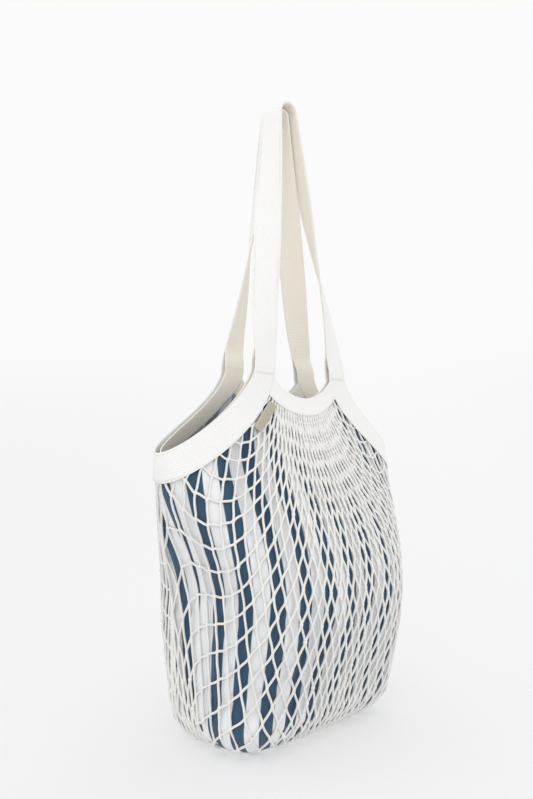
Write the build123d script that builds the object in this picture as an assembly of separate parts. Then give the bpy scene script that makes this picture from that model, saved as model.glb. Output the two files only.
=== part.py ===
from build123d import *
import math
import os

# Lined net tote bag. Millimetres, +Z up, origin at the centre of the footprint on the surface it stands on.
# X runs across the broad faces, and -Y is the front face, with the label.

# ---- body: half sizes and squareness of the horizontal section at three heights ----
BASE_HALF_WIDTH = 129.0
BASE_HALF_DEPTH = 70.0
BELLY_HALF_WIDTH = 132.5
BELLY_HALF_DEPTH = 100.0
RIM_HALF_WIDTH = 184.5
RIM_HALF_DEPTH = 27.0
BASE_SQUARENESS = 4.8
BELLY_SQUARENESS = 3.8
RIM_SQUARENESS = 2.0
BELLY_Z = 150.0
SIDE_TIP_Z = 297.0
NECK_Z = 380.0
SHELL_TOP_Z = 412.0
BOTTOM_EDGE_RADIUS = 38.0

# ---- cloth thicknesses and the clear gap between layers ----
TAPE_THICK = 1.2
NET_THICK = 2.5
LINING_THICK = 1.0
LAYER_GAP = 0.3

# ---- rim tapes, laid out in the front view ----
TAPE_WIDTH = 30.0
SCOOP_TAPE_WIDTH = 20.0
LEG_X = 61.0
LEG_TOP_Z = 394.0
SCOOP_CENTRE_Z = 351.0
SCOOP_END_Z = 384.0
TIP_OVERRUN = 16.0
LEG_PULL = 30.0
SHOULDER_OUT = 36.0
SHOULDER_DROP = 62.0
TIP_SAG = 18.5
UNDER_SCOOP_START = 0.12
BAND_STEPS = 16
SEAM_GAP = 0.3
LINING_BASE_Z = 30.0

# ---- handles ----
HANDLE_BASE_Z = 396.0
HANDLE_BASE_Y = 25.6
HANDLE_TOP_Z = 697.0
CROWN_X = -13.0
CROWN_Y = 4.0
HANDLE_THICK = 2.3
HANDLE_LAYER_GAP = 0.1
FRONT_CROWN_RADIUS = 13.0
BACK_CROWN_RADIUS = 6.5
FRONT_LEG_X = 64.0
BACK_LEG_X = 58.0
TWIST_POWER = 1.25
LEG_STEPS = 16
CROWN_STEPS = 12

# ---- label and bar tacks ----
LABEL_LENGTH = 40.0
LABEL_DROP = 10.0
LABEL_THICK = 0.6
LABEL_LIFT = 1.2
LABEL_GAP = 1.2
LABEL_PLACE = 0.25
BAR_TACK_HEIGHT = 4.0
BAR_TACK_WIDTH = 24.0
BAR_TACK_THICK = 0.4
BAR_TACK_Z = 384.0

OUTLINE_POINTS = 28
SECTION_HEIGHTS = (80.0, 150.0, 200.0, 250.0, 297.0, 340.0, 380.0, SHELL_TOP_Z)
BOTTOM_ARC_STEPS = 3
EDGE_STEPS = 8
BELOW_FLOOR = 10.0
REACH = BELLY_HALF_DEPTH + 20


def ease(t):
    """Smooth step from 0 to 1."""
    t = min(max(t, 0.0), 1.0)
    return t * t * (3 - 2 * t)


def by_height(z, base, belly, top, top_z):
    """A value that eases from base to belly, and on to top, as z rises."""
    if z < BELLY_Z:
        return base + (belly - base) * ease(z / BELLY_Z)
    return belly + (top - belly) * ease((z - BELLY_Z) / (top_z - BELLY_Z))


def half_width(z):
    return by_height(z, BASE_HALF_WIDTH, BELLY_HALF_WIDTH, RIM_HALF_WIDTH, SIDE_TIP_Z)


def half_depth(z):
    return by_height(z, BASE_HALF_DEPTH, BELLY_HALF_DEPTH, RIM_HALF_DEPTH, NECK_Z)


def squareness(z):
    return by_height(z, BASE_SQUARENESS, BELLY_SQUARENESS, RIM_SQUARENESS, SIDE_TIP_Z)


def section(z, inset_width, inset_depth):
    """One horizontal section of the body as a closed face, a rounded outline with 4-way symmetry."""
    width = half_width(z) - inset_width
    depth = half_depth(z) - inset_depth
    power = 2 / squareness(z)
    points = []
    for i in range(OUTLINE_POINTS):
        angle = 2 * math.pi * i / OUTLINE_POINTS
        c = math.cos(angle)
        s = math.sin(angle)
        x = math.copysign(abs(c) ** power, c) * width
        y = math.copysign(abs(s) ** power, s) * depth
        points.append(Vector(x, y, z))
    return Face(Wire([Edge.make_spline(points, periodic=True)]))


def body_form(offset):
    """The body's form grown by offset all round, as a solid up to SHELL_TOP_Z."""
    radius = BOTTOM_EDGE_RADIUS
    floor_z = -offset
    sections = []
    for i in range(BOTTOM_ARC_STEPS + 1):
        turn = math.pi / 2 * i / BOTTOM_ARC_STEPS
        z = floor_z + (radius - floor_z) * (1 - math.cos(turn))
        inset = radius * (1 - math.sin(turn)) - offset
        sections.append(section(z, inset, inset))
    for z in SECTION_HEIGHTS:
        sections.append(section(z, -offset, -offset))
    return loft(sections)


def wall_layer(outer_offset, thickness):
    """A layer of cloth round the body, open at the top and closed underneath."""
    return body_form(outer_offset) - body_form(outer_offset - thickness)


def xz(x, z):
    """A point in the front view."""
    return Vector(x, 0, z)


def prism(front_face, y_low, y_high):
    """Extrude a face drawn in the front view from y_low to y_high."""
    return extrude(front_face.moved(Location((0, y_low, 0))), y_high - y_low, dir=(0, 1, 0))


def side_line(side):
    """Centre line of a side tape: down from the handle leg, then out to the side."""
    return Edge.make_bezier(
        xz(side * LEG_X, LEG_TOP_Z),
        xz(side * LEG_X, LEG_TOP_Z - LEG_PULL),
        xz(side * (LEG_X + SHOULDER_OUT), LEG_TOP_Z - SHOULDER_DROP),
        xz(side * (RIM_HALF_WIDTH + TIP_OVERRUN), SIDE_TIP_Z - TIP_SAG),
    )


def scoop_line():
    """Centre line of the front and back scoop tapes, from leg to leg."""
    return Edge.make_three_point_arc(
        xz(-LEG_X, SCOOP_END_Z), xz(0, SCOOP_CENTRE_Z), xz(LEG_X, SCOOP_END_Z)
    )


def band(line, width):
    """A strip of constant width along a line in the front view, as a face."""
    upper = []
    lower = []
    for i in range(BAND_STEPS + 1):
        point = line.position_at(i / BAND_STEPS)
        along = line.tangent_at(i / BAND_STEPS)
        across = Vector(-along.Z, 0, along.X) * (width / 2)
        upper.append(point + across)
        lower.append(point - across)
    lower.reverse()
    return Face(Wire([
        Edge.make_spline(upper),
        Edge.make_line(upper[-1], lower[0]),
        Edge.make_spline(lower),
        Edge.make_line(lower[-1], upper[0]),
    ]))


def under_rim():
    """Everything below the middle of the rim tapes, as a face in the front view."""
    outer = RIM_HALF_WIDTH + TIP_OVERRUN
    low = -BELOW_FLOOR
    left = side_line(-1)
    right = side_line(1)
    scoop = Edge.make_three_point_arc(
        left.position_at(UNDER_SCOOP_START), xz(0, SCOOP_CENTRE_Z), right.position_at(UNDER_SCOOP_START)
    )
    below_scoop = 1 - UNDER_SCOOP_START
    shares = [UNDER_SCOOP_START + below_scoop * i / EDGE_STEPS for i in range(EDGE_STEPS + 1)]
    return Face(Wire([
        Edge.make_line(xz(-outer, low), xz(outer, low)),
        Edge.make_line(xz(outer, low), right.position_at(1)),
        Edge.make_spline([right.position_at(t) for t in reversed(shares)]),
        scoop,
        Edge.make_spline([left.position_at(t) for t in shares]),
        Edge.make_line(left.position_at(1), xz(-outer, low)),
    ]))


def leg_lean(spread, radius, crown_z):
    """Lean of a leg from vertical, for one that leaves the crown's arc smoothly and lands spread away."""
    height = crown_z - HANDLE_BASE_Z
    return math.atan(spread / height) - math.asin(radius / math.hypot(spread, height))


def leg_frames(side, facing, leg_x, radius, crown_z, lean):
    """Centre, width direction and outward normal of the strap at each step down one leg."""
    crown = Vector(CROWN_X, facing * CROWN_Y, crown_z)
    start = crown + Vector(side * radius * math.cos(lean), 0, radius * math.sin(lean))
    foot = Vector(side * leg_x, facing * HANDLE_BASE_Y, HANDLE_BASE_Z)
    ahead = Vector(0, facing, 0)
    frames = []
    for i in range(LEG_STEPS + 1):
        down = i / LEG_STEPS
        turn = math.pi / 2 * down ** TWIST_POWER
        sideways = Vector(side * math.cos(lean), 0, math.sin(lean) * (1 - down ** 4))
        normal = sideways * math.cos(turn) + ahead * math.sin(turn)
        width = sideways * math.sin(turn) - ahead * math.cos(turn)
        frames.append((start + (foot - start) * down, width, normal))
    return frames


def crown_frames(facing, radius, crown_z, left_lean, right_lean):
    """Frames over the top of the loop, between the two legs."""
    crown = Vector(CROWN_X, facing * CROWN_Y, crown_z)
    frames = []
    for i in range(1, CROWN_STEPS):
        angle = math.pi - left_lean - (math.pi - left_lean - right_lean) * i / CROWN_STEPS
        normal = Vector(math.cos(angle), 0, math.sin(angle))
        frames.append((crown + normal * radius, Vector(0, -facing, 0), normal))
    return frames


def handle_frames(facing, leg_x, radius):
    """Frames of a whole handle, from the foot of its left leg to the foot of its right leg."""
    crown_z = HANDLE_TOP_Z - HANDLE_THICK / 2 - FRONT_CROWN_RADIUS
    left_lean = leg_lean(leg_x + CROWN_X, radius, crown_z)
    right_lean = leg_lean(leg_x - CROWN_X, radius, crown_z)
    left = leg_frames(-1, facing, leg_x, radius, crown_z, left_lean)
    right = leg_frames(1, facing, leg_x, radius, crown_z, right_lean)
    left.reverse()
    return left + crown_frames(facing, radius, crown_z, left_lean, right_lean) + right


def strap_layer(frames, inner, outer):
    """One layer of a handle, between two distances from the strap's middle surface."""
    sections = []
    for centre, width, normal in frames:
        half = width * (TAPE_WIDTH / 2)
        sections.append(Face(Wire.make_polygon([
            centre + half + normal * inner,
            centre + half + normal * outer,
            centre - half + normal * outer,
            centre - half + normal * inner,
        ])))
    return loft(sections, ruled=True)


def wall_point(x, z, facing):
    """The point of the net's outer surface at x and z, on the front (-1) or back (1) wall."""
    power = squareness(z)
    share = abs(x) / half_width(z)
    return Vector(x, facing * half_depth(z) * (1 - share ** power) ** (1 / power), z)


def label_plane():
    """Plane of the label: origin at the middle of its sewn edge, x along that edge, z away from the wall."""
    line = side_line(-1)
    along = line.tangent_at(LABEL_PLACE)
    down = Vector(along.Z, 0, -along.X)
    if down.Z > 0:
        down = down * -1
    edge = line.position_at(LABEL_PLACE) + down * (TAPE_WIDTH / 2 + LABEL_GAP)
    far = edge + down * LABEL_DROP
    top = wall_point(edge.X, edge.Z, -1)
    bottom = wall_point(far.X, far.Z, -1)
    left = wall_point(edge.X + along.X, edge.Z + along.Z, -1)
    x_dir = (left - top).normalized()
    normal = x_dir.cross(bottom - top).normalized()
    if normal.Y > 0:
        normal = normal * -1
    return Plane(origin=top + normal * LABEL_LIFT, x_dir=x_dir, z_dir=normal)


def label_tag():
    """The label is a flat slip of woven tape just off the net, below the tape's edge."""
    plane = label_plane()
    reach = LABEL_DROP / 2 if plane.y_dir.Z < 0 else -LABEL_DROP / 2
    slip = Box(LABEL_LENGTH, LABEL_DROP, LABEL_THICK, align=(Align.CENTER, Align.CENTER, Align.MIN))
    return plane * Pos(0, reach, 0) * slip


def bar_tack(side, facing, layer):
    """A block of thread sewn across the foot of a handle leg."""
    left = side * LEG_X - BAR_TACK_WIDTH / 2
    right = left + BAR_TACK_WIDTH
    top = BAR_TACK_Z + BAR_TACK_HEIGHT
    corners = [xz(left, BAR_TACK_Z), xz(right, BAR_TACK_Z), xz(right, top), xz(left, top)]
    block = Face(Wire.make_polygon(corners))
    return layer & prism(block, min(0, facing * REACH), max(0, facing * REACH))


def lining_panels(layer, front_face):
    """The lining's front panel, back panel and base, with a small seam gap between them."""
    wide = 4 * RIM_HALF_WIDTH
    upper = Pos(0, 0, LINING_BASE_Z + wide / 2) * Box(wide, wide, wide)
    lower = Pos(0, 0, LINING_BASE_Z - SEAM_GAP - wide / 2) * Box(wide, wide, wide)
    front = layer & prism(front_face, -REACH, -SEAM_GAP / 2) & upper
    back = layer & prism(front_face, SEAM_GAP / 2, REACH) & upper
    base = layer & prism(front_face, -REACH, REACH) & lower
    return front, back, base


def write(node, shape):
    export_step(shape, f"parts/{node}.step")


def main():
    os.makedirs("parts", exist_ok=True)
    tape_offset = LAYER_GAP + TAPE_THICK
    lining_offset = -NET_THICK - LAYER_GAP
    inner_tape_offset = lining_offset - LINING_THICK - LAYER_GAP

    below = under_rim()
    write("net_body", wall_layer(0, NET_THICK) & prism(below, -REACH, REACH))
    front, back, base = lining_panels(wall_layer(lining_offset, LINING_THICK), below)
    write("lining_front_panel", front)
    write("lining_back_panel", back)
    write("lining_base", base)

    left_band = prism(band(side_line(-1), TAPE_WIDTH), -REACH, REACH)
    right_band = prism(band(side_line(1), TAPE_WIDTH), -REACH, REACH)
    scoop_band = prism(band(scoop_line(), SCOOP_TAPE_WIDTH), -REACH, REACH)
    wide_left = prism(band(side_line(-1), TAPE_WIDTH + 2 * SEAM_GAP), -REACH, REACH)
    wide_right = prism(band(side_line(1), TAPE_WIDTH + 2 * SEAM_GAP), -REACH, REACH)
    front_half = Pos(0, -REACH, SHELL_TOP_Z / 2) * Box(4 * LEG_X, 2 * REACH, 2 * SHELL_TOP_Z)
    back_half = mirror(front_half, Plane.XZ)
    for place, offset in (("outer", tape_offset), ("inner", inner_tape_offset)):
        layer = wall_layer(offset, TAPE_THICK)
        write(f"left_side_tape_{place}", layer & left_band)
        write(f"right_side_tape_{place}", layer & right_band)
        scoops = (layer & scoop_band) - wide_left - wide_right
        write(f"front_scoop_tape_{place}", scoops & front_half)
        write(f"back_scoop_tape_{place}", scoops & back_half)

    handles = (
        ("front", -1, FRONT_LEG_X, FRONT_CROWN_RADIUS),
        ("back", 1, BACK_LEG_X, BACK_CROWN_RADIUS),
    )
    tack_layer = wall_layer(tape_offset + HANDLE_LAYER_GAP + BAR_TACK_THICK, BAR_TACK_THICK)
    for name, facing, leg_x, radius in handles:
        frames = handle_frames(facing, leg_x, radius)
        write(f"{name}_handle_outer", strap_layer(frames, HANDLE_LAYER_GAP / 2, HANDLE_THICK / 2))
        write(f"{name}_handle_inner", strap_layer(frames, -HANDLE_THICK / 2, -HANDLE_LAYER_GAP / 2))
        for side_name, side in (("left", -1), ("right", 1)):
            write(f"{name}_{side_name}_bar_tack", bar_tack(side, facing, tack_layer))

    write("label_tag", label_tag())


main()
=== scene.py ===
"""Lined net tote: its looks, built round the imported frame. Lengths are metres, in the frame's axes."""

import math

import bpy
import numpy as np
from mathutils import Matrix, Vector


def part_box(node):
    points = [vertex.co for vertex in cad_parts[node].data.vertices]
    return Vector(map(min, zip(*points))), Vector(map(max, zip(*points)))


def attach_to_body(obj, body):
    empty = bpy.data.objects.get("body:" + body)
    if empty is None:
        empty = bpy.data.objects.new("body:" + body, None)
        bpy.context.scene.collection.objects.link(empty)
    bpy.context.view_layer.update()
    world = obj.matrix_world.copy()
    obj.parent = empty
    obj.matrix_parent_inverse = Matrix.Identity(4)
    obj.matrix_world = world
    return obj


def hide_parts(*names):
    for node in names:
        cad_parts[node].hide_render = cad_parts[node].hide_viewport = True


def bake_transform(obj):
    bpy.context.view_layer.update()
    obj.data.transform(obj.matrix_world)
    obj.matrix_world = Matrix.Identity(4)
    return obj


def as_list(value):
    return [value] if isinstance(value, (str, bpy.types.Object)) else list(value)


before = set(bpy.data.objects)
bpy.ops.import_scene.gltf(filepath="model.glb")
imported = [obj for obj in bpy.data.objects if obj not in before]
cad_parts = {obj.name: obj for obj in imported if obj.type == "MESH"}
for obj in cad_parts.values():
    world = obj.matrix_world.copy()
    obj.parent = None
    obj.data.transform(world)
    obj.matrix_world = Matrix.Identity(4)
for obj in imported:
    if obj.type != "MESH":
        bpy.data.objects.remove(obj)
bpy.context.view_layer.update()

MM = 0.001
SHARP_ANGLE = math.radians(60)

# ---- the body's form: driving sizes, with the frame's own boxes where they give one ----
NET_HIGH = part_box("net_body")[1]
BASE_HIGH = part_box("lining_base")[1]
LINING_INSET = 3.3 * MM
BASE_HALF_WIDTH = BASE_HIGH[0] + LINING_INSET
BASE_HALF_DEPTH = BASE_HIGH[1] + LINING_INSET - 3 * MM
BELLY_HALF_WIDTH = BASE_HALF_WIDTH + 3.5 * MM
BELLY_HALF_DEPTH = NET_HIGH[1]
RIM_HALF_WIDTH = NET_HIGH[0]
RIM_HALF_DEPTH = 27 * MM
BASE_SQUARENESS = 4.8
BELLY_SQUARENESS = 3.8
RIM_SQUARENESS = 2.0
BELLY_Z = 150 * MM
SIDE_TIP_Z = 297 * MM
NECK_Z = 380 * MM
BOTTOM_EDGE_RADIUS = 38 * MM
WALL_TOP = 420 * MM
WALL_LEVELS = 85
FINE_STEPS = 1441
GIRTH = 0.80
CORNER_SHARE = 0.105

# ---- rim tapes ----
TAPE_WIDTH = 30 * MM
SCOOP_TAPE_WIDTH = 20 * MM
TAPE_THICK = 1.2 * MM
LEG_X = 61 * MM
LEG_TOP_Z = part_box("right_side_tape_outer")[1][2]
LEG_PULL = 30 * MM
SHOULDER_OUT = 36 * MM
SHOULDER_DROP = 62 * MM
TIP_OVERRUN = 16 * MM
TIP_SAG = 18.5 * MM
SCOOP_CENTRE_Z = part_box("front_scoop_tape_outer")[0][2] + SCOOP_TAPE_WIDTH / 2
SCOOP_RISE = 33 * MM
SCOOP_TUCK = 2 * MM
SCOOP_LIFT = -0.3 * MM
SCOOP_END_STEPS = 8
OUTER_TAPE_LIFT = 0.4 * MM
INNER_TAPE_LIFT = -5.3 * MM
INNER_TAPE_TRIM = 11 * MM
TRIM_RUN = 45 * MM

# ---- handles ----
HANDLE_LOW, HANDLE_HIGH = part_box("front_handle_outer")
HANDLE_FOOT_Y = 25.6 * MM
HANDLE_FOOT_Z = HANDLE_LOW[2]
HANDLE_THICK = 2.3 * MM
HANDLE_LAYER_GAP = 0.1 * MM
HANDLE_JOIN_HEIGHT = 22 * MM
HANDLE_WAVER = 0.35 * MM
HANDLE_WAVER_RATE = 47
HANDLE_WAVER_HEIGHT = 60 * MM
FOOT_LIFT = 0.3 * MM
FOOT_SHIFT_START = 0.75
FOOT_TURN_START = 0.86
CROWN_X = -13 * MM
CROWN_Y = 4 * MM
TWIST_POWER = 1.25
HANDLE_STEPS = 70
CROWN_STEPS = 24
FRONT_CROWN_RADIUS = 13 * MM
BACK_CROWN_RADIUS = 6.5 * MM
FRONT_LEG_X = 64 * MM
BACK_LEG_X = 58 * MM

# ---- stitches, bar tacks and label ----
STITCH_PITCH = 3.4 * MM
STITCH_LENGTH = 2.6 * MM
STITCH_WIDTH = 0.55 * MM
STITCH_INSET = 2.2 * MM
STITCH_FLATNESS = 0.7
STITCH_SIDES = 5
# how far along a stitch each of its rings is, the ring's size, and how high it stands
STITCH_PROFILE = ((0, 0.5, -0.5), (0.2, 1, 0.3), (0.5, 1.1, 0.5), (0.8, 1, 0.3), (1, 0.5, -0.5))
BAR_TACK_Z = 386 * MM
BAR_TACK_WIDTH = 24 * MM
BAR_TACK_HEIGHT = 4 * MM
BAR_TACK_PITCH = 0.8 * MM
BAR_TACK_THREAD = 0.9 * MM
LABEL_THICK = 0.5 * MM
LABEL_CURL = 1.5 * MM
LABEL_ROWS = 9
LABEL_COLUMNS = 25
LABEL_STITCH_INSET = 1.6 * MM
LABEL_STITCH_SPAN = 0.97
LABEL_STITCH_POINTS = 40

# ---- the net ----
TWINE_RADIUS = 1.3 * MM
TWINE_LENGTH = 19.3 * MM
TWINE_VARIATION = 0.035
TWINE_INSET = 1.2 * MM
TWINE_SWAY = 0.35 * MM
TWINE_STEPS = 5
TWINE_SIDES = 6
NET_SEED = 5
NET_COLUMNS = 32
NET_ROWS = 24
SEAM_ROWS = 32
RIM_ROWS = 16
RIM_START = 14
EDGE_COLUMNS = 6
EDGE_COLUMN_STEP = 15 * MM
SIDE_COLUMNS = 3
TOP_HALF_SPAN = 54 * MM
STRAIGHT_STRIDE = 18.4 * MM
SEAM_SWING = 45 * MM
SEAM_PINCH = 0.5
SEAM_LOW_SHARE = 0.04
FLOOR_TURN_Z = 4 * MM
FLOOR_SEAM_SHARE = 0.97
SETTLE_STEPS = 500
SLACK_SHARE = 0.9
SLACK_PUSH = 0.25
PULL = 1.7
STRAIGHTENING = 0.05
SINK = 0.03 * MM
KNOT_PULL = 0.42
KNOT_LENGTH = 5.2 * MM
KNOT_WIDTH = 3.7 * MM
KNOT_WAIST = 0.16
KNOT_CUT = 0.04
KNOT_VARIATION = 0.12
KNOT_RINGS = 5
KNOT_SIDES = 8

# ---- the lining ----
LINING_PANEL_CUT = (0.44, 0.36)
LINING_BASE_CUT = (0.33, 0.23)
LINING_THICK = 0.8 * MM
LINING_LIFT = 2.9 * MM
LINING_SEAM_Z = BASE_HIGH[2]
LINING_FLOOR_Z = 3.1 * MM
LINING_LEG_Z = 383 * MM
LINING_COLUMNS = 281
LINING_ROWS = 110
BASE_RINGS = 10
FLOOR_RINGS = 7
FLOOR_HOLE_SHARE = 0.02
BASE_CURVE = 1.4
HEM_FADE = 45 * MM
BASE_FADE_Z = 30 * MM
BASE_FADE = 25 * MM
SEAM_FADE_SHARE = 0.02
FINE_FOLD = 1.6
FINE_FOLDS = 46
BROAD_FOLD = 1.1
BROAD_FOLDS = 9
CREASE = 1.6
UPPER_CREASE_Z = 118 * MM
LOWER_CREASE_Z = 72 * MM
CORNER_FOLD = 7
CORNER_FOLD_WIDTH = 0.012

# ---- patterns of the cloths ----
TWINE_TWIST = 900
THREAD_TWIST = 2500
PLY_SCALE = 0.5
PLY_TURNS = 3 * 2 * math.pi / (10 * PLY_SCALE)
FIBRE_SCALE = (1800, 9, 1)
FIBRE_SHARE = 0.5
TWINE_BUMP = (0.5, 0.5 * MM)
TAPE_BUMP = (0.35, 0.4 * MM)
LINING_BUMP = (0.2, 0.3 * MM)
LABEL_BUMP = (0.4, 0.3 * MM)
THREAD_BUMP = (0.4, 0.2 * MM)
LINING_THREADS = 330
TAPE_THREADS = 380
TAPE_THREAD_SHARE = 0.4
LABEL_RIBS = 420
OUTER_TAPE_RIBS = 190
INNER_TAPE_RIBS = 170
STRIPE_PERIOD = 34 * MM
STRIPE_BLUR = 0.015
STRIPE_LEAN = -0.06
BASE_STRIPE_SLANT = 1.3
BASE_SLANT_START = 0.12
BASE_SLANT_RUN = 0.04
SPECULAR = 0.15
SHEEN = 0.15
SHEEN_ROUGHNESS = 0.5

# ---- the floor and background ----
SWEEP_NEAR = 4.0
SWEEP_FAR = 0.9
SWEEP_RADIUS = 1.6
SWEEP_HEIGHT = 6.0
SWEEP_HALF_WIDTH = 7.0
SWEEP_STEPS = 25
SWEEP_FADE_Z = 0.9
FLOOR_FADE_START = 1.4
FLOOR_FADE_END = 3.6
FLOOR_GAP = 1.3 * MM

# ---- colours (linear) and light ----
TWINE_COLOUR = (0.93, 0.925, 0.905)
# painted shade: the twine's colour in the grooves between its plies
TWINE_SHADE = (0.84, 0.83, 0.80)
TAPE_WHITE = (0.90, 0.895, 0.885)
# painted shade: the white tape's colour in the troughs between its ribs
TAPE_WHITE_SHADE = (0.85, 0.845, 0.83)
TAPE_CREAM = (0.94, 0.90, 0.825)
# painted shade: the cream tape's colour in the troughs between its ribs
TAPE_CREAM_SHADE = (0.87, 0.82, 0.735)
STRIPE_BLUE = (0.047, 0.094, 0.150)
STRIPE_WHITE = (0.84, 0.85, 0.86)
STRIPE_BLUE_BACK = (0.24, 0.30, 0.38)
STRIPE_WHITE_BACK = (0.62, 0.64, 0.66)
THREAD_COLOUR = (0.90, 0.89, 0.87)
# painted shade: the thread's colour in the grooves between its plies
THREAD_SHADE = (0.76, 0.75, 0.72)
LABEL_COLOUR = (0.52, 0.47, 0.38)
# painted shade: the label's colour in the troughs between its ribs
LABEL_SHADE = (0.40, 0.36, 0.29)
FLOOR_COLOUR = (0.40, 0.40, 0.408)
FLOOR_GLOW = 0.475
ROOM_COLOUR = (1.0, 1.0, 1.0)
ROOM_STRENGTH = 0.965
LIGHT_SIZE = 1.6
WINDOW_PLACE = (-1.6, -1.2, 1.9)
WINDOW_AIM = (0, 0, 0.25)
WINDOW_POWER = 11.0
PANEL_PLACE = (1.5, 0.4, 1.6)
PANEL_AIM = (0, 0, 0.3)
PANEL_POWER = 5.0

# ---- the camera: eye height, distance and turn round the bag ----
VIEW_TURN = math.radians(-48.2)
VIEW_DISTANCE = 0.9005
VIEW_HEIGHT = 0.3135
VIEW_TILT = math.radians(3.0)
VIEW_YAW = math.radians(1.345)
SENSOR = 36.0
LENS = SENSOR * 792.0 / 799.0


# ================= the wall =================

def ease(t):
    t = np.clip(t, 0.0, 1.0)
    return t * t * (3 - 2 * t)


def by_height(z, base, belly, top, top_z):
    """A value that eases from base to belly, and on to top, as z rises."""
    low = base + (belly - base) * ease(z / BELLY_Z)
    high = belly + (top - belly) * ease((z - BELLY_Z) / (top_z - BELLY_Z))
    return np.where(z < BELLY_Z, low, high)


def half_width(z):
    return by_height(z, BASE_HALF_WIDTH, BELLY_HALF_WIDTH, RIM_HALF_WIDTH, SIDE_TIP_Z)


def half_depth(z):
    return by_height(z, BASE_HALF_DEPTH, BELLY_HALF_DEPTH, RIM_HALF_DEPTH, NECK_Z)


def squareness(z):
    return by_height(z, BASE_SQUARENESS, BELLY_SQUARENESS, RIM_SQUARENESS, SIDE_TIP_Z)


def bottom_inset(z, lift):
    """How far the rounded bottom edge pulls the wall in at height z."""
    radius = BOTTOM_EDGE_RADIUS
    drop = np.clip(radius - np.maximum(z, 0), 0, radius)
    return radius - np.sqrt(np.maximum(radius ** 2 - drop ** 2, 0)) - lift


def fullness(points, lift):
    """1 on the wall's outline at each point's height, less inside and more outside."""
    z = points[:, 2]
    inset = bottom_inset(z, lift)
    width = half_width(z) - inset
    depth = half_depth(z) - inset
    power = squareness(z)
    total = np.abs(points[:, 0] / width) ** power + np.abs(points[:, 1] / depth) ** power
    return np.maximum(total, 1e-9) ** (1 / power)


def onto_wall(points, lift):
    """Move points level with themselves onto the wall, lifted off it by lift."""
    out = points.copy()
    scale = 1 / fullness(points, lift)
    out[:, 0] *= scale
    out[:, 1] *= scale
    return out


def around(angle, z, lift):
    """A point of the wall. angle runs once round: 0 at the left tip, a quarter turn at the front."""
    inset = bottom_inset(z, lift)
    power = 2 / squareness(z)
    c = -np.cos(angle)
    s = -np.sin(angle)
    x = np.sign(c) * np.abs(c) ** power * (half_width(z) - inset)
    y = np.sign(s) * np.abs(s) ** power * (half_depth(z) - inset)
    return np.stack([x, y, z + 0 * angle], axis=-1)


FINE_ANGLES = np.linspace(0, 2 * math.pi, FINE_STEPS)
ARC_HEIGHTS = np.linspace(0, WALL_TOP, WALL_LEVELS)


def distances(line):
    """Distance along a line to each of its points."""
    return np.concatenate([[0], np.cumsum(np.linalg.norm(np.diff(line, axis=0), axis=1))])


def points_at(line, run, at):
    """Points of a line, or of values kept along it, at given distances along it."""
    return np.stack([np.interp(at, run, line[:, i]) for i in range(line.shape[1])], axis=1)


def unit(vectors):
    """Vectors of length one, along the last axis."""
    return vectors / np.maximum(np.linalg.norm(vectors, axis=-1, keepdims=True), 1e-12)


def resample(line, count):
    """The same line with evenly spaced points."""
    run = distances(line)
    return points_at(line, run, np.linspace(0, run[-1], count))


def arc_tables():
    """Share of the way round, by angle, at each height."""
    shares = []
    for z in ARC_HEIGHTS:
        run = distances(around(FINE_ANGLES, np.full_like(FINE_ANGLES, z), 0))
        shares.append(run / run[-1])
    return np.array(shares)


ARC_SHARES = arc_tables()


def wall(share, z, lift):
    """Points of the wall by share of the way round (0 left tip, 0.25 front middle) and height."""
    share = np.asarray(share, float)
    z = np.asarray(z, float)
    row = np.clip(z / (ARC_HEIGHTS[1] - ARC_HEIGHTS[0]), 0, len(ARC_HEIGHTS) - 1.001)
    low = row.astype(int)
    part = row - low
    angles = np.zeros(share.shape)
    for index in np.unique(low):
        chosen = low == index
        a = np.interp(share[chosen] % 1.0, ARC_SHARES[index], FINE_ANGLES)
        b = np.interp(share[chosen] % 1.0, ARC_SHARES[index + 1], FINE_ANGLES)
        angles[chosen] = a + (b - a) * part[chosen]
    return around(angles, z, lift)


def wall_normals(points):
    """Outward normals of the wall at points on it."""
    step = 0.5 * MM
    slope = np.zeros_like(points)
    for axis in range(3):
        ahead = points.copy()
        behind = points.copy()
        ahead[:, axis] += step
        behind[:, axis] -= step
        slope[:, axis] = fullness(ahead, 0) - fullness(behind, 0)
    return unit(slope)


def depth_at(x, z):
    """Distance of the wall from the bag's middle plane at x and height z."""
    power = squareness(z)
    return half_depth(z) * np.maximum(1 - np.abs(x / half_width(z)) ** power, 0) ** (1 / power)


# ================= lines of the rim =================

def side_curve(t):
    """Centre line of a side tape in the front view, as x and z, from the leg out past the side tip."""
    t = t[:, None]
    leg = np.array([LEG_X, LEG_TOP_Z])
    pull = leg - np.array([0, LEG_PULL])
    shoulder = leg + np.array([SHOULDER_OUT, -SHOULDER_DROP])
    tip = np.array([RIM_HALF_WIDTH + TIP_OVERRUN, SIDE_TIP_Z - TIP_SAG])
    leaving = leg * (1 - t) ** 3 + 3 * pull * t * (1 - t) ** 2
    return leaving + 3 * shoulder * t ** 2 * (1 - t) + tip * t ** 3


def side_path(side, lift, count=241):
    """The side tape's centre line on the wall, from the front leg round the side tip to the back leg."""
    flat = side_curve(np.linspace(0, 1, 4001))
    keep = flat[:, 0] < half_width(flat[:, 1]) - 0.02 * MM
    flat = flat[keep]
    front = np.stack([side * flat[:, 0], -depth_at(flat[:, 0], flat[:, 1]), flat[:, 1]], axis=1)
    back = front[::-1] * np.array([1, -1, 1])
    return resample(onto_wall(np.concatenate([front, back]), lift), count)


def scoop_path(facing, lift, end_x=LEG_X, count=81):
    """The scoop tape's centre line on the front (-1) or back (1) wall, left to right."""
    x = np.linspace(-end_x, end_x, 801)
    radius = (LEG_X ** 2 + SCOOP_RISE ** 2) / (2 * SCOOP_RISE)
    z = SCOOP_CENTRE_Z + radius - np.sqrt(radius ** 2 - x ** 2)
    return resample(onto_wall(np.stack([x, facing * depth_at(x, z), z], axis=1), lift), count)


# ================= mesh helpers =================

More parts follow.
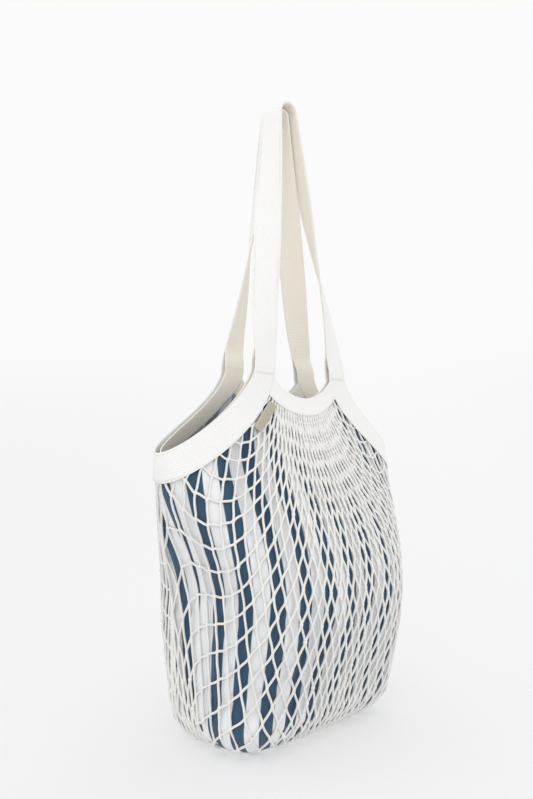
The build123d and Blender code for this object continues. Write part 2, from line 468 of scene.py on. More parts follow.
def new_mesh(name, vertices, faces, uv=None):
    """A mesh object. uv gives one (u, v) per vertex."""
    mesh = bpy.data.meshes.new(name)
    mesh.from_pydata([tuple(v) for v in np.asarray(vertices, float)], [], [tuple(f) for f in faces])
    mesh.update()
    mesh.shade_smooth()
    mesh.set_sharp_from_angle(angle=SHARP_ANGLE)
    if uv is not None:
        layer = mesh.uv_layers.new(name="cloth")
        corner = np.empty(len(mesh.loops), dtype=np.int32)
        mesh.loops.foreach_get("vertex_index", corner)
        layer.data.foreach_set("uv", np.asarray(uv, np.float32)[corner].ravel())
    obj = bpy.data.objects.new(name, mesh)
    bpy.context.scene.collection.objects.link(obj)
    return obj


def grid_faces(rows, columns, closed=False, start=0, flip=False):
    """Quads of a grid of rows by columns vertices."""
    faces = []
    across = columns if closed else columns - 1
    for r in range(rows - 1):
        for c in range(across):
            a = start + r * columns + c
            b = start + r * columns + (c + 1) % columns
            quad = (a, b, b + columns, a + columns)
            faces.append(quad[::-1] if flip else quad)
    return faces


def tube_faces(rings, sides, start=0, flip=False):
    """Faces of a tube of rings of vertices, with a cap at each end."""
    last = start + (rings - 1) * sides
    caps = (tuple(range(start, start + sides))[::-1], tuple(range(last, last + sides)))
    faces = grid_faces(rings, sides, closed=True, start=start, flip=flip)
    return faces + [cap[::-1] if flip else cap for cap in caps]


def frames_along(line, normals):
    """Tangent, across and normal at each point of a line."""
    tangent = unit(np.gradient(line, axis=0))
    across = unit(np.cross(normals, tangent))
    return tangent, across, np.cross(tangent, across)


def strap_section(width, thick):
    """Cross-section of a tape with softly rounded selvedges, as (across, out) pairs."""
    half = width / 2
    edge = thick * 0.45
    upper = [(-half + edge, thick), (-half * 0.72, thick), (-half * 0.36, thick), (0, thick)]
    upper += [(half * 0.36, thick), (half * 0.72, thick), (half - edge, thick)]
    right = [(half - edge * 0.3, thick * 0.85), (half, thick * 0.5), (half - edge * 0.3, thick * 0.15)]
    lower = [(x, 0) for x, _ in reversed(upper)]
    left = [(-x, y) for x, y in right[::-1]]
    return np.array(upper + right + lower + left)


# ================= the knotted net =================

def last_row(column):
    """The lowest row of a column: the net is longer at its sides, where its squares lie open."""
    from_edge = min(column, NET_COLUMNS - column)
    extra = (SEAM_ROWS - NET_ROWS) * max(0.0, 1 - from_edge / EDGE_COLUMNS)
    return NET_ROWS + int(round(extra))


def net_nodes():
    """Every knot of one half of the net as (column, row), and the twines between them as index pairs."""
    names = []
    for row in range(SEAM_ROWS + 1):
        shift = 0.5 * (row % 2)
        for column in range(NET_COLUMNS + 1 - row % 2):
            if row <= last_row(column + shift):
                names.append((column + shift, row))
    index = {name: i for i, name in enumerate(names)}
    twines = []
    for (column, row), i in index.items():
        for step in (-0.5, 0.5):
            below = index.get((column + step, row + 1))
            if below is not None:
                twines.append((i, below))
    return names, index, np.array(twines)


def twine_lines(index):
    """Each twine as a run of knots, going down to the left or down to the right until an edge."""
    lines = []
    for step in (-0.5, 0.5):
        for (column, row), i in index.items():
            if (column - step, row - 1) in index:
                continue
            line = [i]
            place = (column + step, row + 1)
            while place in index:
                line.append(index[place])
                place = (place[0] + step, place[1] + 1)
            if len(line) > 1:
                lines.append(line)
    return lines


def seam_depth(z, side, half):
    """y of the net's side seam at height z, in the half's own front-facing frame."""
    if side > 0:
        return 0 * z
    drop = (SIDE_TIP_Z - z) / SIDE_TIP_Z
    return -half * SEAM_SWING * ease(drop * 2.5) * (1 - 0.5 * ease(drop * 1.6 - 0.6))


def share_of(points):
    """Share of the way round (0 to 1) of points on the wall."""
    z = points[:, 2]
    inset = bottom_inset(z, 0)
    power = squareness(z) / 2
    c = np.abs(points[:, 0] / (half_width(z) - inset)) ** power * -np.sign(points[:, 0])
    s = np.abs(points[:, 1] / (half_depth(z) - inset)) ** power * -np.sign(points[:, 1])
    angle = np.arctan2(s, c) % (2 * math.pi)
    row = np.clip(np.round(z / (ARC_HEIGHTS[1] - ARC_HEIGHTS[0])).astype(int), 0, len(ARC_HEIGHTS) - 1)
    return np.array([np.interp(a, FINE_ANGLES, ARC_SHARES[r]) for a, r in zip(angle, row)])


def straight_column(top, top_share, low_share):
    """A column of the net that runs down the wall from the scoop, as distance round the bag and height."""
    drop = np.linspace(0, 1, 120)
    share = top_share + (low_share - top_share) * ease(1.4 * drop)
    z = top[2] + (FLOOR_TURN_Z - top[2]) * drop
    return np.stack([share * GIRTH, z], axis=1)


def edge_column(rim, from_edge, half, side):
    """A column near a side: it follows the rim to the side tip, then the side seam down to the floor."""
    share = share_of(rim)
    share = np.where(share > 0.5, share - 1, share) if side < 0 else share
    away = 1 if side < 0 else -1
    reach = from_edge * EDGE_COLUMN_STEP
    run = np.stack([share * GIRTH + away * reach, rim[:, 2] - reach], axis=1)
    z = np.linspace(run[-1, 1], FLOOR_TURN_Z, 60)[1:]
    base = (0 if side < 0 else GIRTH / 2) - seam_depth(z, side, half)
    tail = np.stack([base + away * reach * SEAM_PINCH, z], axis=1)
    return np.concatenate([run, tail])


def half_start(names, half):
    """First places for the knots of one half, column by column, in even steps down the wall."""
    top = resample(scoop_path(-1, -TWINE_INSET, TOP_HALF_SPAN), NET_COLUMNS * 2 + 1)
    top_share = share_of(top)
    rims = {}
    for side in (-1, 1):
        rim = side_path(side, -TWINE_INSET)
        rims[side] = resample(rim[RIM_START : len(rim) // 2 + 1], RIM_ROWS + 1)
    low_share = np.interp(
        np.arange(NET_COLUMNS * 2 + 1) / 2,
        [0, SIDE_COLUMNS, NET_COLUMNS - SIDE_COLUMNS, NET_COLUMNS],
        [-SEAM_LOW_SHARE if half < 0 else SEAM_LOW_SHARE, CORNER_SHARE, 0.5 - CORNER_SHARE, 0.5],
    )
    columns = {}
    for step in range(NET_COLUMNS * 2 + 1):
        from_edge = min(step, NET_COLUMNS * 2 - step) / 2
        side = -1 if step < NET_COLUMNS else 1
        straight = straight_column(top[step], top_share[step], low_share[step])
        edged = edge_column(rims[side], from_edge, half, side)
        count = last_row(step / 2)
        rows = np.arange(count + 1)
        run = distances(edged)
        at = np.interp(rows, [0, RIM_ROWS, SEAM_ROWS - 2], [0, run[RIM_ROWS], run[-1]])
        weight = ease(from_edge / EDGE_COLUMNS)
        flat = points_at(straight, distances(straight), rows * STRAIGHT_STRIDE) * weight
        flat = flat + points_at(edged, run, at) * (1 - weight)
        place = wall(flat[:, 0] / GIRTH, np.clip(flat[:, 1], FLOOR_TURN_Z, None), -TWINE_INSET)
        place[0] = top[step]
        floor_from = int(np.argmax(flat[:, 1] <= FLOOR_TURN_Z + 0.1 * MM))
        fold = np.array([place[floor_from, 0] * FLOOR_SEAM_SHARE, 0, TWINE_INSET])
        for row in range(floor_from + 1, count + 1):
            part = (row - floor_from) / max(count - floor_from, 1)
            place[row] = place[floor_from] * (1 - part) + fold * part
        columns[step] = place
    return np.array([columns[int(round(column * 2))][row] for column, row in names])


def onto_body(points, half):
    """Put knots back on the body, on their own side of the seam."""
    out = points.copy()
    limit = np.where(out[:, 0] < -0.5 * BASE_HALF_WIDTH, seam_depth(out[:, 2], -1, half), 0.0)
    out[:, 1] = np.minimum(out[:, 1], limit)
    low = out[:, 2] < BOTTOM_EDGE_RADIUS
    high = ~low
    out[high] = onto_wall(out[high], -TWINE_INSET)
    flat = np.column_stack([out[:, :2], np.full(len(out), 0.5 * MM)])
    under = low & (fullness(flat, -TWINE_INSET) < 1)
    out[under, 2] = TWINE_INSET
    edge = low & ~under
    if edge.any():
        out[edge] = onto_round_edge(out[edge])
    return out


def onto_round_edge(points):
    """Move points near the rounded bottom edge onto it by the shortest way."""
    out = points.copy()
    out[:, 2] = np.clip(out[:, 2], 2 * MM, None)
    for _ in range(2):
        value = fullness(out, -TWINE_INSET) - 1
        slope = np.zeros_like(out)
        step = 0.3 * MM
        for axis in range(3):
            ahead = out.copy()
            ahead[:, axis] += step
            slope[:, axis] = (fullness(ahead, -TWINE_INSET) - 1 - value) / step
        square = np.maximum((slope ** 2).sum(axis=1), 1.0)
        move = -(value / square)[:, None] * slope
        size = np.linalg.norm(move, axis=1, keepdims=True)
        out += move * np.minimum(1, 4 * MM / np.maximum(size, 1e-9))
        out[:, 2] = np.clip(out[:, 2], TWINE_INSET, None)
    return out


def settle(points, names, index, twines, half, random):
    """Pull one half of the net taut over the body: twines keep their length and knots stay on it."""
    column = np.array([name[0] for name in names])
    row = np.array([name[1] for name in names])
    on_edge = (column == 0) | (column == NET_COLUMNS)
    lowest = np.array([row == last_row(column) for column, row in names])
    pinned = (row == 0) | (on_edge & (row <= RIM_ROWS)) | lowest
    seam = on_edge & ~pinned
    held = points.copy()
    rest = TWINE_LENGTH * (1 + TWINE_VARIATION * random.standard_normal(len(twines)))
    middles = [(a, b, c) for line in twine_lines(index) for a, b, c in zip(line, line[1:], line[2:])]
    before, middle, after = np.array(middles).T
    start, end = twines.T
    degree = np.bincount(twines.ravel(), minlength=len(points)).astype(float)[:, None]
    for _ in range(SETTLE_STEPS):
        gap = points[end] - points[start]
        length = np.linalg.norm(gap, axis=1)
        slack = np.minimum(length - rest * SLACK_SHARE, 0) * SLACK_PUSH
        over = np.where(length > rest, length - rest, slack)
        push = gap / np.maximum(length, 1e-9)[:, None] * (over * 0.5)[:, None]
        shift = np.zeros_like(points)
        np.add.at(shift, start, push)
        np.add.at(shift, end, -push)
        bend = points[before] + points[after] - 2 * points[middle]
        lean = np.zeros_like(points)
        np.add.at(lean, middle, bend * STRAIGHTENING)
        moved = shift / degree * PULL + lean
        moved[:, 2] -= SINK
        points = onto_body(points + moved, half)
        for side in (-1, 1):
            edge = seam & (column == (0 if side < 0 else NET_COLUMNS))
            points[edge, 1] = seam_depth(points[edge, 2], side, half)
            points[edge, 0] = side * half_width(points[edge, 2])
        points[seam] = onto_wall(points[seam], -TWINE_INSET)
        points[pinned] = held[pinned]
    return points


def down_directions(points, twines):
    """The way down the net at each knot, from the knots above it to those below."""
    down = np.zeros_like(points)
    start, end = twines.T
    gap = points[end] - points[start]
    np.add.at(down, start, gap)
    np.add.at(down, end, gap)
    return unit(down)


def twine_path(points, down, line, random):
    """A smooth path through one run of knots: twines leave a knot nearly downwards, then cross over."""
    path = []
    for a, b in zip(line, line[1:]):
        gap = points[b] - points[a]
        length = np.linalg.norm(gap)
        leave = gap * (1 - KNOT_PULL) + down[a] * length * KNOT_PULL
        arrive = gap * (1 - KNOT_PULL) + down[b] * length * KNOT_PULL
        sway = random.standard_normal(3) * TWINE_SWAY
        for step in range(TWINE_STEPS):
            t = step / TWINE_STEPS
            spot = points[a] * (2 * t ** 3 - 3 * t ** 2 + 1) + leave * (t ** 3 - 2 * t ** 2 + t)
            spot = spot + points[b] * (3 * t ** 2 - 2 * t ** 3) + arrive * (t ** 3 - t ** 2)
            path.append(spot + sway * math.sin(math.pi * t) ** 2)
    path.append(points[line[-1]])
    return np.array(path)


def add_tube(parts, path, normals, radius, sides):
    """Add a round tube along a path to a list of mesh parts."""
    _, across, normal = frames_along(path, normals)
    turn = np.linspace(0, 2 * math.pi, sides, endpoint=False)
    ring = across[:, None] * np.cos(turn)[None, :, None] + normal[:, None] * np.sin(turn)[None, :, None]
    vertices = (path[:, None] + ring * radius).reshape(-1, 3)
    run = distances(path)
    uv = np.stack(np.broadcast_arrays(run[:, None], turn[None] / (2 * math.pi)), axis=-1).reshape(-1, 2)
    add_part(parts, vertices, uv, tube_faces(len(path), sides, parts["count"]))


def add_part(parts, vertices, uv, faces):
    parts["vertices"].append(vertices)
    parts["uv"].append(uv)
    parts["faces"].extend(faces)
    parts["count"] += len(vertices)


def empty_parts():
    return {"vertices": [], "uv": [], "faces": [], "count": 0}


def mesh_from_parts(name, parts):
    return new_mesh(name, np.concatenate(parts["vertices"]), parts["faces"], np.concatenate(parts["uv"]))


def add_knot(parts, centre, down, normal, size):
    """A small tied lump of twine where two twines meet, longer down the net than across it."""
    across = np.cross(normal, down)
    vertices = []
    uv = []
    for i in range(KNOT_RINGS + 1):
        lean = math.pi * (KNOT_CUT + (1 - 2 * KNOT_CUT) * i / KNOT_RINGS)
        for j in range(KNOT_SIDES):
            turn = 2 * math.pi * j / KNOT_SIDES
            waist = 1 - KNOT_WAIST * math.sin(lean) ** 6
            offset = down * math.cos(lean) * KNOT_LENGTH / 2
            offset = offset + across * math.sin(lean) * math.cos(turn) * KNOT_WIDTH / 2 * waist
            offset = offset + normal * math.sin(lean) * math.sin(turn) * KNOT_WIDTH / 2
            vertices.append(centre + offset * size)
            uv.append((KNOT_LENGTH * i / KNOT_RINGS, j / KNOT_SIDES))
    faces = tube_faces(KNOT_RINGS + 1, KNOT_SIDES, parts["count"], flip=True)
    add_part(parts, np.array(vertices), np.array(uv), faces)


def build_net():
    """The whole net: both halves settled over the body, as twines and knots."""
    names, index, twines = net_nodes()
    lines = twine_lines(index)
    twine_parts = empty_parts()
    knot_parts = empty_parts()
    for half in (-1, 1):
        random = np.random.default_rng(NET_SEED + half)
        points = settle(half_start(names, half), names, index, twines, half, random)
        points[:, 1] *= -half
        down = down_directions(points, twines)
        for line in lines:
            path = twine_path(points, down, line, random)
            add_tube(twine_parts, path, wall_normals(path), TWINE_RADIUS, TWINE_SIDES)
        normals = wall_normals(points)
        for (column, row), centre, way, normal in zip(names, points, down, normals):
            inner = 0 < row < last_row(column) and 0 < column < NET_COLUMNS
            if inner:
                add_knot(knot_parts, centre, way, normal, 1 + KNOT_VARIATION * random.standard_normal())
    return [mesh_from_parts("net_twines", twine_parts), mesh_from_parts("net_knots", knot_parts)]


# ================= the lining =================

def rim_line():
    """The lining's top edge, half way round the front: left tip, leg, under the scoop, leg, right tip."""
    left = side_path(-1, 0)
    left = left[: len(left) // 2 + 1][::-1]
    left = left[left[:, 2] < LINING_LEG_Z]
    scoop = scoop_path(-1, 0)
    scoop = scoop[np.abs(scoop[:, 0]) < np.abs(left[-1, 0])]
    right = left[::-1] * np.array([-1, 1, 1])
    return resample(np.concatenate([left, scoop, right]), LINING_COLUMNS)


def lining_sag(share, z, depth_below_rim):
    """How far the loose lining hangs inside the net: soft folds that fade out at the hem and the base."""
    fade = ease(depth_below_rim / HEM_FADE) * ease((z - BASE_FADE_Z) / BASE_FADE)
    from_seam = np.minimum(share % 0.5, 0.5 - share % 0.5)
    fade = fade * ease(from_seam / SEAM_FADE_SHARE)
    turn = 2 * math.pi * share
    fine = 1 + np.sin(FINE_FOLDS * turn + 3 * np.sin(z * 14 + 2 * turn))
    fine = fine * (0.5 + 0.5 * np.sin(7 * turn + z * 9))
    broad = 1 + np.sin(BROAD_FOLDS * turn + z * 21 + 1.2)
    crease = np.exp(-((z - UPPER_CREASE_Z - 22 * MM * np.sin(2.3 * turn)) / (9 * MM)) ** 2)
    crease = crease + np.exp(-((z - LOWER_CREASE_Z + 14 * MM * np.sin(3.1 * turn + 1)) / (7 * MM)) ** 2)
    corner = np.exp(-((share - CORNER_SHARE) / CORNER_FOLD_WIDTH) ** 2) * ease((z - 0.2) / 0.1)
    return fade * (FINE_FOLD * fine + BROAD_FOLD * broad + CREASE * crease + CORNER_FOLD * corner) * MM


def sheet_mesh(name, outer, normals, uv, thick):
    """A thin closed sheet from a grid of points: outer is rows by columns by 3, and thick goes inwards."""
    rows, columns = outer.shape[:2]
    count = rows * columns
    inner = outer - normals * thick
    vertices = np.concatenate([outer.reshape(-1, 3), inner.reshape(-1, 3)])
    faces = grid_faces(rows, columns, flip=True)
    faces += grid_faces(rows, columns, start=count)
    ring = [c for c in range(columns)]
    ring += [r * columns + columns - 1 for r in range(1, rows)]
    ring += [(rows - 1) * columns + c for c in range(columns - 2, -1, -1)]
    ring += [r * columns for r in range(rows - 2, 0, -1)]
    for a, b in zip(ring, ring[1:] + ring[:1]):
        faces.append((a, b, b + count, a + count))
    both = np.concatenate([uv.reshape(-1, 2)] * 2)
    obj = new_mesh(name, vertices, faces, both)
    inside = obj.data.attributes.new("inside", "FLOAT", "POINT")
    inside.data.foreach_set("value", np.repeat([0.0, 1.0], count).astype(np.float32))
    return obj


def grid_area(points):
    """Area of a grid of points, rows by columns by 3."""
    right = points[:-1, 1:] - points[:-1, :-1]
    down = points[1:, :-1] - points[:-1, :-1]
    return float(np.linalg.norm(np.cross(right, down), axis=-1).sum())


def lining_panel(name, facing):
    """The front (-1) or back (1) lining panel, from the hem under the tapes down to the base seam."""
    top = rim_line()
    top_share = share_of(top)
    top_share[0] = 0.0
    top_share[-1] = 0.5
    low_share = np.linspace(0, 0.5, LINING_COLUMNS)
    down = np.linspace(0, 1, LINING_ROWS)[:, None]
    z = top[:, 2] + (LINING_SEAM_Z - top[:, 2]) * down
    share = top_share + (low_share - top_share) * ease(1.3 * down)
    smooth = wall(share.ravel(), z.ravel(), -LINING_LIFT)
    sag = lining_sag(share + (0.5 if facing > 0 else 0), z, top[:, 2] - z)
    normals = wall_normals(smooth)
    points = smooth - normals * sag.reshape(-1, 1)
    if facing > 0:
        points[:, 1] *= -1
        normals[:, 1] *= -1
    points = points.reshape(LINING_ROWS, LINING_COLUMNS, 3)
    normals = normals.reshape(LINING_ROWS, LINING_COLUMNS, 3)
    uv = np.stack([share * GIRTH + z * STRIPE_LEAN, z], axis=-1)
    if facing > 0:
        points = points[:, ::-1]
        normals = normals[:, ::-1]
        uv = uv[:, ::-1] * np.array([-1, 1])
    obj = sheet_mesh(name, points, normals, uv, LINING_THICK)
    area = grid_area(smooth.reshape(LINING_ROWS, LINING_COLUMNS, 3))
    return obj, area


def lining_base():
    """The lining's base: a shallow tray, up to the seam with the two panels, with a flat floor."""
    columns = 2 * LINING_COLUMNS - 1
    share = np.linspace(0, 1, columns)
    drop = np.linspace(0, 1, BASE_RINGS)[:, None]
    z = LINING_FLOOR_Z + (LINING_SEAM_Z - LINING_FLOOR_Z) * (1 - drop) ** BASE_CURVE + 0 * share
    rings = wall((share + 0 * z).ravel(), z.ravel(), -LINING_LIFT)
    normals = wall_normals(rings).reshape(BASE_RINGS, columns, 3)
    rings = rings.reshape(BASE_RINGS, columns, 3)
    slant = BASE_STRIPE_SLANT * ease((share - BASE_SLANT_START) / BASE_SLANT_RUN)
    u = share * GIRTH + z * STRIPE_LEAN + (LINING_SEAM_Z - z) * slant
    uv = np.stack([u, z], axis=-1)
    sides = sheet_mesh("lining_base_cloth", rings, normals, uv, LINING_THICK)
    shrink = np.linspace(1, FLOOR_HOLE_SHARE, FLOOR_RINGS)[:, None, None]
    middle = rings[-1].mean(axis=0)
    floor = middle + (rings[-1] - middle) * shrink
    floor_uv = floor[..., [0, 1]]
    under = np.broadcast_to(np.array([0, 0, -1.0]), floor.shape)
    bottom = sheet_mesh("lining_floor", floor, under, floor_uv, LINING_THICK)
    area = grid_area(rings) + grid_area(floor)
    return joined(sides, bottom), area


def joined(first, second):
    """Two mesh objects made into one, named as the first."""
    bpy.ops.object.select_all(action="DESELECT")
    first.select_set(True)
    second.select_set(True)
    bpy.context.view_layer.objects.active = first
    bpy.ops.object.join()
    return first


# ================= tapes, handles and label =================

def wall_strap(name, line, width, lift, trimmed=0.0):
    """A tape lying on the wall along a line, lifted off it by lift. trimmed narrows its lower edge."""
    _, across, _ = frames_along(line, wall_normals(line))
    upward = np.sign(across[len(line) // 2, 2])
    run = distances(line)
    trim = trimmed * ease(np.minimum(run, run[-1] - run) / TRIM_RUN)

    def place(across_by, out_by):
        offset = across_by * (1 - trim / width) + upward * trim / 2
        base = onto_wall(line + across * offset[:, None], 0)
        return base + wall_normals(base) * (out_by + lift)

    return swept_tape(name, run, strap_section(width, TAPE_THICK), place)


def swept_tape(name, run, section, place):
    """A closed tape. place gives its line of points for one (across, out) pair of its cross-section."""
    rings = [place(across_by, out_by) for across_by, out_by in section]
    uv = [np.stack([run, np.full(len(run), across_by)], axis=1) for across_by, _ in section]
    vertices = np.stack(rings, axis=1).reshape(-1, 3)
    return new_mesh(name, vertices, tube_faces(len(run), len(section)), np.stack(uv, axis=1).reshape(-1, 2))


def add_stitches(parts, line, across, normal, offset, lift, pitch=STITCH_PITCH, length=STITCH_LENGTH):
    """A row of stitches along a line, offset sideways, standing on the tape."""
    shifted = line + across * offset + normal * lift
    run = distances(shifted)
    for at in np.arange(pitch, run[-1] - pitch, pitch):
        ends = np.array([at - length / 2, at + length / 2])
        a, b = points_at(shifted, run, ends)
        out = unit(points_at(normal, run, [at])[0])
        add_stitch(parts, a, b, out, STITCH_WIDTH)


def add_stitch(parts, a, b, out, width):
    """One stitch: a short thread from a to b, dipping into the tape at both ends."""
    side = np.cross(out, unit(b - a))
    rings = []
    uv = []
    for t, size, rise in STITCH_PROFILE:
        centre = a + (b - a) * t + out * rise * width * 0.5
        for turn in range(STITCH_SIDES):
            angle = 2 * math.pi * turn / STITCH_SIDES
            ring = side * math.cos(angle) + out * math.sin(angle) * STITCH_FLATNESS
            rings.append(centre + ring * size * width / 2)
            uv.append((t * 2 * MM, turn / STITCH_SIDES))
    faces = grid_faces(len(rings) // STITCH_SIDES, STITCH_SIDES, closed=True, start=parts["count"])
    add_part(parts, np.array(rings), np.array(uv), faces)


def tape_end(side, facing):
    """Centre, width direction and normal of a side tape's end, where a handle leg goes on from it."""
    line = side_path(side, 0)
    _, across, normal = frames_along(line, wall_normals(line))
    flip = np.array([1, -facing, 1])
    return line[0] * flip, across[0] * flip, normal[0] * flip


def handle_leg(side, facing, leg_x, radius, crown_z, lean):
    """Centre, width direction and normal down one handle leg, from the crown to the tape's end."""
    crown = np.array([CROWN_X, facing * CROWN_Y, crown_z])
    start = crown + radius * np.array([side * math.cos(lean), 0, math.sin(lean)])
    plain_foot = np.array([side * leg_x, facing * HANDLE_FOOT_Y, HANDLE_FOOT_Z])
    ahead = np.array([0.0, facing, 0.0])
    end, end_width, end_normal = tape_end(side, facing)
    foot = end + end_normal * FOOT_LIFT
    frames = []
    for i in range(HANDLE_STEPS + 1):
        down = i / HANDLE_STEPS
        turn = math.pi / 2 * down ** TWIST_POWER
        sideways = np.array([side * math.cos(lean), 0, math.sin(lean) * (1 - down ** 4)])
        normal = sideways * math.cos(turn) + ahead * math.sin(turn)
        width = sideways * math.sin(turn) - ahead * math.cos(turn)
        centre = start + (plain_foot - start) * down
        near_foot = ease((down - FOOT_SHIFT_START) / (1 - FOOT_SHIFT_START))
        centre = centre + (foot - plain_foot) * near_foot
        matched = ease((down - FOOT_TURN_START) / (1 - FOOT_TURN_START))
        end_way = end_width * np.sign(end_width @ width)
        width = width * (1 - matched) + end_way * matched
        normal = normal * (1 - matched) + end_normal * matched
        frames.append((centre, unit(width), unit(normal)))
    return frames


def handle_frames(facing, leg_x, radius):
    """Frames of a whole handle, left foot to right foot."""
    crown_z = HANDLE_HIGH[2] - HANDLE_THICK / 2 - FRONT_CROWN_RADIUS
    height = crown_z - HANDLE_FOOT_Z
    legs = []
    leans = []
    for side in (-1, 1):
        spread = leg_x - side * CROWN_X
        lean = math.atan(spread / height) - math.asin(radius / math.hypot(spread, height))
        leans.append(lean)
        legs.append(handle_leg(side, facing, leg_x, radius, crown_z, lean))
    crown = []
    for i in range(1, CROWN_STEPS):
        angle = math.pi - leans[0] - (math.pi - leans[0] - leans[1]) * i / CROWN_STEPS
        normal = np.array([math.cos(angle), 0, math.sin(angle)])
        centre = np.array([CROWN_X, facing * CROWN_Y, crown_z]) + normal * radius
        crown.append((centre, np.array([0.0, -facing, 0.0]), normal))
    frames = legs[0][::-1] + crown + legs[1]
    centre, width, normal = (np.array([f[i] for f in frames]) for i in range(3))
    return centre, width, normal


def handle_layer(name, frames, low, high, spread):
    """One layer of a handle. Its foot spreads from the middle surface by spread, to meet its rim tape."""
    centre, width, normal = frames
    height = centre[:, 2] - centre[0, 2]
    apart = spread * (1 - ease(height / HANDLE_JOIN_HEIGHT))
    run = distances(centre)
    waver = HANDLE_WAVER * np.sin(run * HANDLE_WAVER_RATE) * ease(height / HANDLE_WAVER_HEIGHT)

    def place(across_by, out_by):
        return centre + width * across_by + normal * (low + out_by + apart + waver)[:, None]

    return swept_tape(name, run, strap_section(TAPE_WIDTH, high - low), place)


def oriented_box(node):
    """Centre, half sizes and axes (long, short, thin) of a flat CAD node that lies at an angle."""
    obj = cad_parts[node]
    points = np.array([obj.matrix_world @ vertex.co for vertex in obj.data.vertices], float)
    points = np.unique(points.round(7), axis=0)
    centre = (points.min(axis=0) + points.max(axis=0)) / 2
    axes = np.linalg.svd(points - points.mean(axis=0))[2]
    half = np.array([np.ptp((points - centre) @ axis) / 2 for axis in axes])
    order = np.argsort(-half)
    return centre, half[order], axes[order]


# ================= materials =================

def fill(tree, node, inputs):
    """Set a node's inputs, by name or number, to plain values, or link them from other nodes' outputs."""
    for name, value in inputs.items():
        if isinstance(value, bpy.types.NodeSocket):
            tree.links.new(value, node.inputs[name])
        else:
            node.inputs[name].default_value = value


def add_node(tree, kind, inputs):
    node = tree.nodes.new("ShaderNode" + kind)
    fill(tree, node, inputs)
    return node


def material(name, colour, roughness):
    """A cloth-like material, its node tree and its main shader node."""
    made = bpy.data.materials.new(name)
    made.use_nodes = True
    shader = made.node_tree.nodes["Principled BSDF"]
    fill(made.node_tree, shader, {
        "Base Color": (*colour, 1),
        "Roughness": roughness,
        "Specular IOR Level": SPECULAR,
        "Sheen Weight": SHEEN,
        "Sheen Roughness": SHEEN_ROUGHNESS,
    })
    return made, made.node_tree, shader


def scaled_cloth(tree, scale=(1, 1, 1)):
    """The cloth's own coordinates, in metres along and across it, times scale."""
    coordinates = tree.nodes.new("ShaderNodeUVMap")
    coordinates.uv_map = "cloth"
    return add_node(tree, "Mapping", {"Vector": coordinates.outputs["UV"], "Scale": scale}).outputs["Vector"]


def split_axes(tree, vector):
    """The X, Y and Z of a vector."""
    return add_node(tree, "SeparateXYZ", {"Vector": vector}).outputs


def ramp(tree, value, start, end, kind="LINEAR"):
    """0 below start, 1 above end."""
    node = add_node(tree, "MapRange", {"Value": value, "From Min": start, "From Max": end})
    node.interpolation_type = kind
    return node.outputs["Result"]


def wave(tree, vector, direction, scale):
    """Slightly uneven bands along one direction: X, Y or DIAGONAL."""
    bands = add_node(tree, "TexWave", {"Vector": vector, "Scale": scale, "Distortion": 0.25, "Detail": 1.0})
    bands.wave_type = "BANDS"
    bands.bands_direction = direction
    return bands.outputs["Fac"]


def math_node(tree, operation, a, b=0.0):
    node = add_node(tree, "Math", {0: a, 1: b})
    node.operation = operation
    return node.outputs[0]


def mixed_colour(tree, factor, first, second):
    """A mix of two colours, each a plain colour or another node's output."""
    mix = tree.nodes.new("ShaderNodeMix")
    mix.data_type = "RGBA"
    first, second = ((*colour, 1) if isinstance(colour, tuple) else colour for colour in (first, second))
    fill(tree, mix, {0: factor, 6: first, 7: second})
    return mix.outputs[2]


def two_tone(tree, shader, factor, shade, colour):
    """Make the surface's colour go from shade to colour with factor."""
    fill(tree, shader, {"Base Color": mixed_colour(tree, factor, shade, colour)})


def add_bump(tree, shader, height, bump):
    """Relief from height. bump is its strength and its depth."""
    relief = add_node(tree, "Bump", {"Height": height, "Strength": bump[0], "Distance": bump[1]})
    fill(tree, shader, {"Normal": relief.outputs["Normal"]})


def twine_material():
    """Plied cotton twine: a spiral of three plies round it, with fine fibres along it, and painted shade in
    the grooves between the plies.
    """
    made, tree, shader = material("cotton_twine", TWINE_COLOUR, 0.9)
    plies = wave(tree, scaled_cloth(tree, (TWINE_TWIST, PLY_TURNS, 1)), "DIAGONAL", PLY_SCALE)
    noise = {"Vector": scaled_cloth(tree, FIBRE_SCALE), "Scale": 1.0, "Detail": 3.0}
    fibre = add_node(tree, "TexNoise", noise).outputs["Fac"]
    height = math_node(tree, "ADD", plies, math_node(tree, "MULTIPLY", fibre, FIBRE_SHARE))
    add_bump(tree, shader, height, TWINE_BUMP)
    # painted shade: the colour darkens where the ply bump sinks
    two_tone(tree, shader, plies, TWINE_SHADE, TWINE_COLOUR)
    return made


def tape_material(name, colour, shade, rib, direction):
    """Twill tape: fine ribs across or along it, with painted shade between the ribs."""
    made, tree, shader = material(name, colour, 0.85)
    cloth = scaled_cloth(tree)
    ribs = wave(tree, cloth, direction, rib)
    threads = math_node(tree, "MULTIPLY", wave(tree, cloth, "Y", TAPE_THREADS), TAPE_THREAD_SHARE)
    add_bump(tree, shader, math_node(tree, "ADD", ribs, threads), TAPE_BUMP)
    # painted shade: the colour darkens where the rib bump sinks
    two_tone(tree, shader, ribs, shade, colour)
    return made


